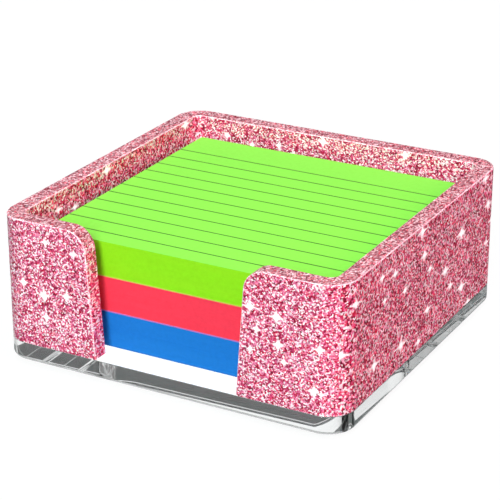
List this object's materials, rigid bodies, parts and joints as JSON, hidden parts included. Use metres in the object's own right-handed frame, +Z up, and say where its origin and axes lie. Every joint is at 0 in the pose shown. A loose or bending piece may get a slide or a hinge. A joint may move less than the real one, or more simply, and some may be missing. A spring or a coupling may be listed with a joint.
{
  "type": "sticky note holder",
  "caption": "Square desk holder for sticky notes: a pink glitter wall with a wide front finger notch on a clear base plate, holding stacked pads whose top note lifts.",
  "frame": {"origin": "middle of the footprint on the plane of the feet, where the holder stands on the desk", "axes": "+Z up, -Y towards the front with the finger notch, +X to the right seen from the front"},
  "size_m": [0.0926, 0.0926, 0.0382],
  "materials": {
    "clear_acrylic": "clear cast acrylic with polished edges",
    "glitter_acrylic": "pink acrylic filled with glitter flakes, polished",
    "clear_rubber": "clear soft bumper",
    "backing_card": "plain uncoated card",
    "blue_paper": "bright blue uncoated paper",
    "red_paper": "coral red uncoated paper",
    "green_paper": "bright green uncoated paper with fine ruled lines on the top note"
  },
  "bodies": {
    "holder": {"base_plate": "clear_acrylic", "glitter_wall": "glitter_acrylic", "foot_front_left": "clear_rubber", "foot_front_right": "clear_rubber", "foot_back_left": "clear_rubber", "foot_back_right": "clear_rubber"},
    "blue_notes": {"blue_backing": "backing_card", "blue_pad": "blue_paper"},
    "red_notes": {"red_backing": "backing_card", "red_pad": "red_paper"},
    "green_notes": {"green_backing": "backing_card", "green_pad": "green_paper", "top_note_band": "green_paper"},
    "top_note": {"top_note_flap": "green_paper"}
  },
  "joints": [
    {"name": "blue_pad_lift", "type": "slide", "parent": "holder", "child": "blue_notes", "axis": [0, 0, 1], "range_m": [0, 0.04]},
    {"name": "red_pad_lift", "type": "slide", "parent": "blue_notes", "child": "red_notes", "axis": [0, 0, 1], "range_m": [0, 0.04]},
    {"name": "green_pad_lift", "type": "slide", "parent": "red_notes", "child": "green_notes", "axis": [0, 0, 1], "range_m": [0, 0.04]},
    {"name": "top_note_peel", "type": "hinge", "parent": "green_notes", "child": "top_note", "pos_m": [0, 0.0221, 0.03335], "axis": [-1, 0, 0], "range_deg": [0, 85]}
  ]
}
